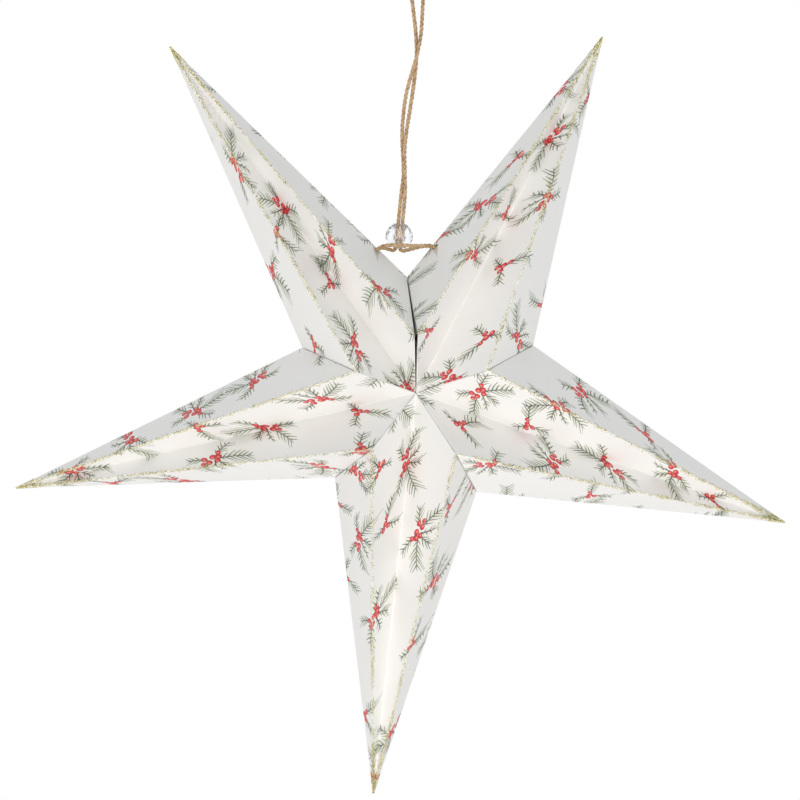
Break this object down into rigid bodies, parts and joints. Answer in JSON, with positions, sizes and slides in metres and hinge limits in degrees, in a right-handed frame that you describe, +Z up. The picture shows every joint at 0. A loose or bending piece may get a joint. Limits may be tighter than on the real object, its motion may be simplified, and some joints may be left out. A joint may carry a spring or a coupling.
{
  "type": "folded paper star",
  "caption": "Hanging star of hollow folded card arms glued edge to edge, on a doubled jute twine that passes through a clear faceted bead.",
  "frame": {"origin": "the inside of the twine's top bend, where the star hangs on a hook", "axes": "+Z up along the hanging twine, -Y towards the front of the star, +X to the viewer's right"},
  "size_m": [0.4505, 0.12, 0.4776],
  "materials": {
    "card": "printed white card, lightly sheened, with glitter along the ridges",
    "bead": "clear and faceted",
    "twine": "twisted jute"
  },
  "bodies": {
    "star": {"upper_right_arm": "card", "upper_left_arm": "card", "left_arm": "card", "bottom_arm": "card", "right_arm": "card", "twine": "twine", "twine_knot": "twine"},
    "bead": {"bead": "bead"}
  },
  "joints": [
    {"name": "bead_slide", "type": "slide", "parent": "star", "child": "bead", "axis": [0.0958, 0, 0.9954], "range_m": [0, 0.012]}
  ]
}
